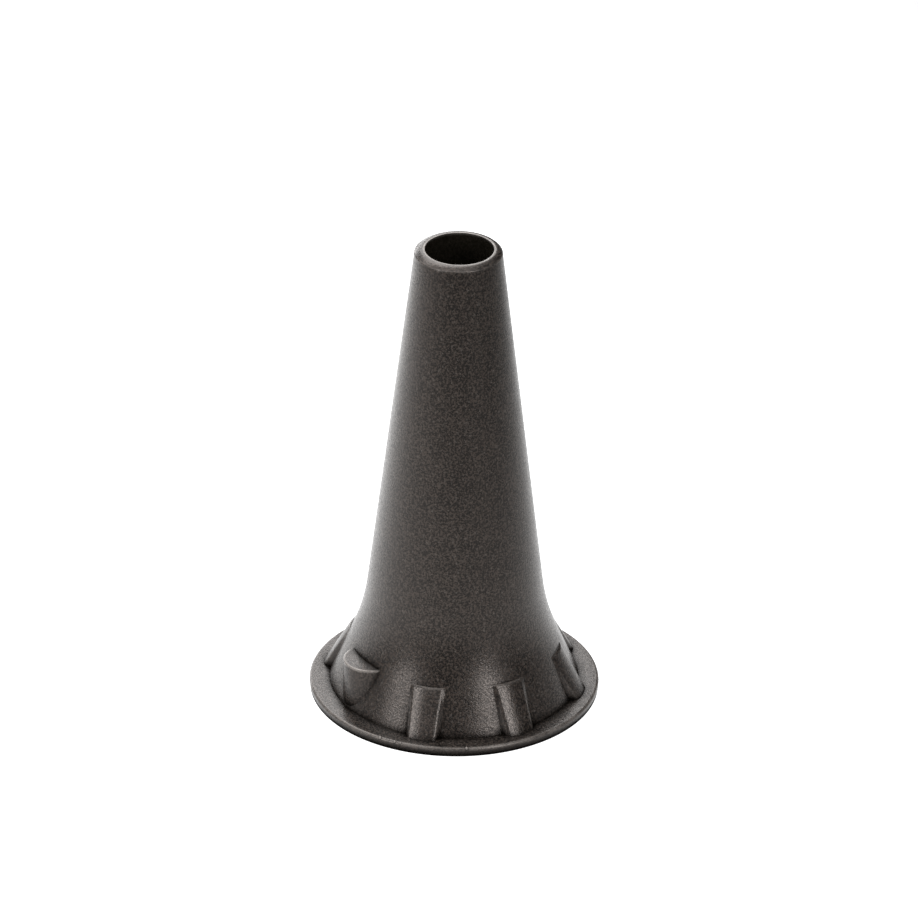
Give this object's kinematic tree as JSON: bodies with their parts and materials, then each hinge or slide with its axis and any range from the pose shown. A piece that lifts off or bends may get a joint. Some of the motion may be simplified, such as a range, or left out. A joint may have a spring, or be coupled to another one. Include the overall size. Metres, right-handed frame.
{
  "type": "ear speculum",
  "caption": "Ear speculum for an otoscope: rounded open tip, long taper, and a flared base with a round flange, grip ribs and a D-shaped locating lug.",
  "frame": {"origin": "centre of the flange's underside, where the speculum stands or seats", "axes": "+Z along the bore towards the tip, -Y out through the middle of the D-shaped lug, +X to its right seen from outside"},
  "size_m": [0.0214, 0.0214, 0.0364],
  "materials": {
    "matte_black_plastic": "fine-grained matte injection moulding, with a faint satin sheen at grazing angles"
  },
  "bodies": {
    "root": {"ear_speculum": "matte_black_plastic"}
  },
  "joints": []
}
